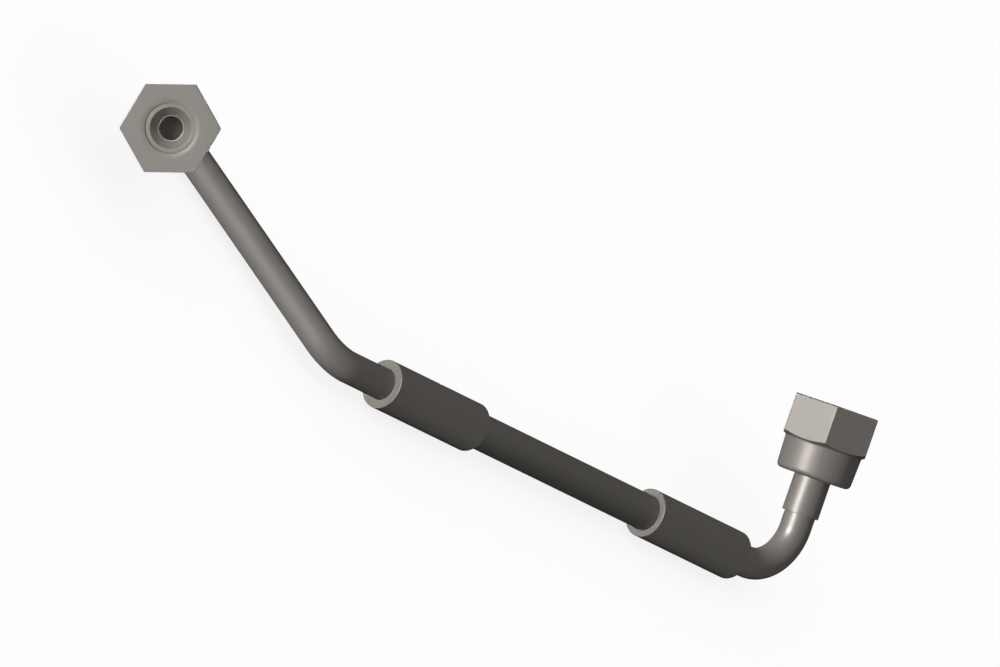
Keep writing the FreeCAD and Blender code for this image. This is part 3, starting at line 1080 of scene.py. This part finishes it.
def seen_directly(shader):
    """1 for rays that come from the camera, a reflection or glass."""
    node = shader.node("ShaderNodeLightPath")
    camera, glossy, through = (
        shader.out(node, key) for key in ("Is Camera Ray", "Is Glossy Ray", "Is Transmission Ray")
    )
    return camera.larger(glossy).larger(through)


def floor_material():
    """A pale floor that shows white but for the object's soft shadow.

    The shadow is one part of the floor's own shading by the lamps and one part of how
    much of the sky each point sees past the object.  From below the floor is clear.
    """
    material = bpy.data.materials.new("pale_floor")
    shader = Shader(material)
    sight = shader.node(
        "ShaderNodeAmbientOcclusion", {"samples": SHADOW_SAMPLES}, {"Distance": SHADOW_REACH}
    )
    shade = shader.mix(shader.out(sight, "AO"), grey(SHADOW_GREY), grey(1.0))
    plain = shader.node("ShaderNodeBsdfDiffuse", None, {"Color": grey(FLOOR_GREY)})
    white = shader.node("ShaderNodeEmission", None, {"Color": shade, "Strength": 1.0})
    clear = shader.node("ShaderNodeBsdfTransparent")
    shown = seen_directly(shader) * WHITE_SHARE
    top = shader.node(
        "ShaderNodeMixShader", None, {0: shown, 1: shader.out(plain), 2: shader.out(white)}
    )
    under = shader.out(shader.node("ShaderNodeNewGeometry"), "Backfacing")
    both = shader.node(
        "ShaderNodeMixShader", None, {0: under, 1: shader.out(top), 2: shader.out(clear)}
    )
    shader.node("ShaderNodeOutputMaterial", None, {"Surface": shader.out(both)})
    return material


def add_floor():
    """A large flat floor just under the object."""
    data = bpy.data.meshes.new("floor")
    corners = np.array([[-1, -1], [1, -1], [1, 1], [-1, 1]]) * FLOOR_REACH
    data.from_pydata([(x, y, -FLOOR_DROP) for x, y in corners], [], [(0, 1, 2, 3)])
    data.materials.append(floor_material())
    floor = bpy.data.objects.new("floor", data)
    bpy.context.scene.collection.objects.link(floor)


def set_world(fill, ceiling):
    """White round the horizon, dimmer overhead, and a weaker grey as light.

    The look goes from 1 at the horizon to the ceiling's level, over the sine of the
    elevation.
    """
    world = bpy.data.worlds.new("studio")
    bpy.context.scene.world = world
    shader = Shader(world)
    place = shader.out(shader.node("ShaderNodeTexCoord"), "Generated")
    overhead = shader.parts(place)[2].between(HORIZON, OVERHEAD)
    look = overhead * (ceiling - 1) + 1
    strength = seen_directly(shader) * (look - fill) + fill
    light = shader.node("ShaderNodeBackground", None, {"Color": (1, 1, 1, 1), "Strength": strength})
    shader.node("ShaderNodeOutputWorld", None, {"Surface": shader.out(light)})


class VENT_OT_studio(bpy.types.Operator):
    """Set up the floor, the lamps and the camera"""

    bl_idname = "vent_tube.studio"
    bl_label = "Studio"

    def execute(self, context):
        studio = context.scene.vent_tube_studio
        add_floor()
        set_world(studio.fill, studio.ceiling)
        for name, placing in LAMPS.items():
            add_lamp(name, *placing, getattr(studio, name))
        data = bpy.data.cameras.new("camera")
        data.lens = studio.lens
        data.clip_start, data.clip_end = 0.01, 100.0
        camera = bpy.data.objects.new("camera", data)
        context.scene.collection.objects.link(camera)
        axes = view_axes(studio.azimuth, studio.elevation, studio.roll)
        set_frame(camera, axes, np.array(studio.aim) + axes[2] * studio.distance)
        context.scene.camera = camera
        context.scene.view_settings.view_transform = "Standard"
        return {"FINISHED"}


class VENT_PT_panel(bpy.types.Panel):
    """Lists the vent tube's pieces in the sidebar"""

    bl_idname = "VENT_PT_panel"
    bl_label = "Vent tube"
    bl_space_type = "VIEW_3D"
    bl_region_type = "UI"
    bl_category = "Vent tube"

    def draw(self, context):
        for operator in OPERATORS:
            self.layout.operator(operator.bl_idname)
        for group in GROUPS:
            values = getattr(context.scene, group)
            for key in values.bl_rna.properties.keys():
                if key not in ("rna_type", "name"):
                    self.layout.prop(values, key)


GROUPS = {
    "vent_tube_line": LineSizes,
    "vent_tube_fitting": FittingSizes,
    "vent_tube_finish": Finish,
    "vent_tube_studio": Studio,
}
OPERATORS = (
    VENT_OT_tubes,
    VENT_OT_hose,
    VENT_OT_ferrules,
    VENT_OT_stems,
    VENT_OT_nipples,
    VENT_OT_nuts,
    VENT_OT_studio,
)


def register():
    """Register the properties, the operators and the panel."""
    for name, group in GROUPS.items():
        bpy.utils.register_class(group)
        setattr(bpy.types.Scene, name, bpy.props.PointerProperty(type=group))
    for operator in OPERATORS:
        bpy.utils.register_class(operator)
    bpy.utils.register_class(VENT_PT_panel)


def unregister():
    """Take the panel, the operators and the properties out again."""
    bpy.utils.unregister_class(VENT_PT_panel)
    for operator in reversed(OPERATORS):
        bpy.utils.unregister_class(operator)
    for name, group in GROUPS.items():
        delattr(bpy.types.Scene, name)
        bpy.utils.unregister_class(group)


def main():
    """Make every piece in order."""
    register()
    for operator in OPERATORS:
        family, action = operator.bl_idname.split(".")
        getattr(getattr(bpy.ops, family), action)()


if __name__ == "__main__":
    main()
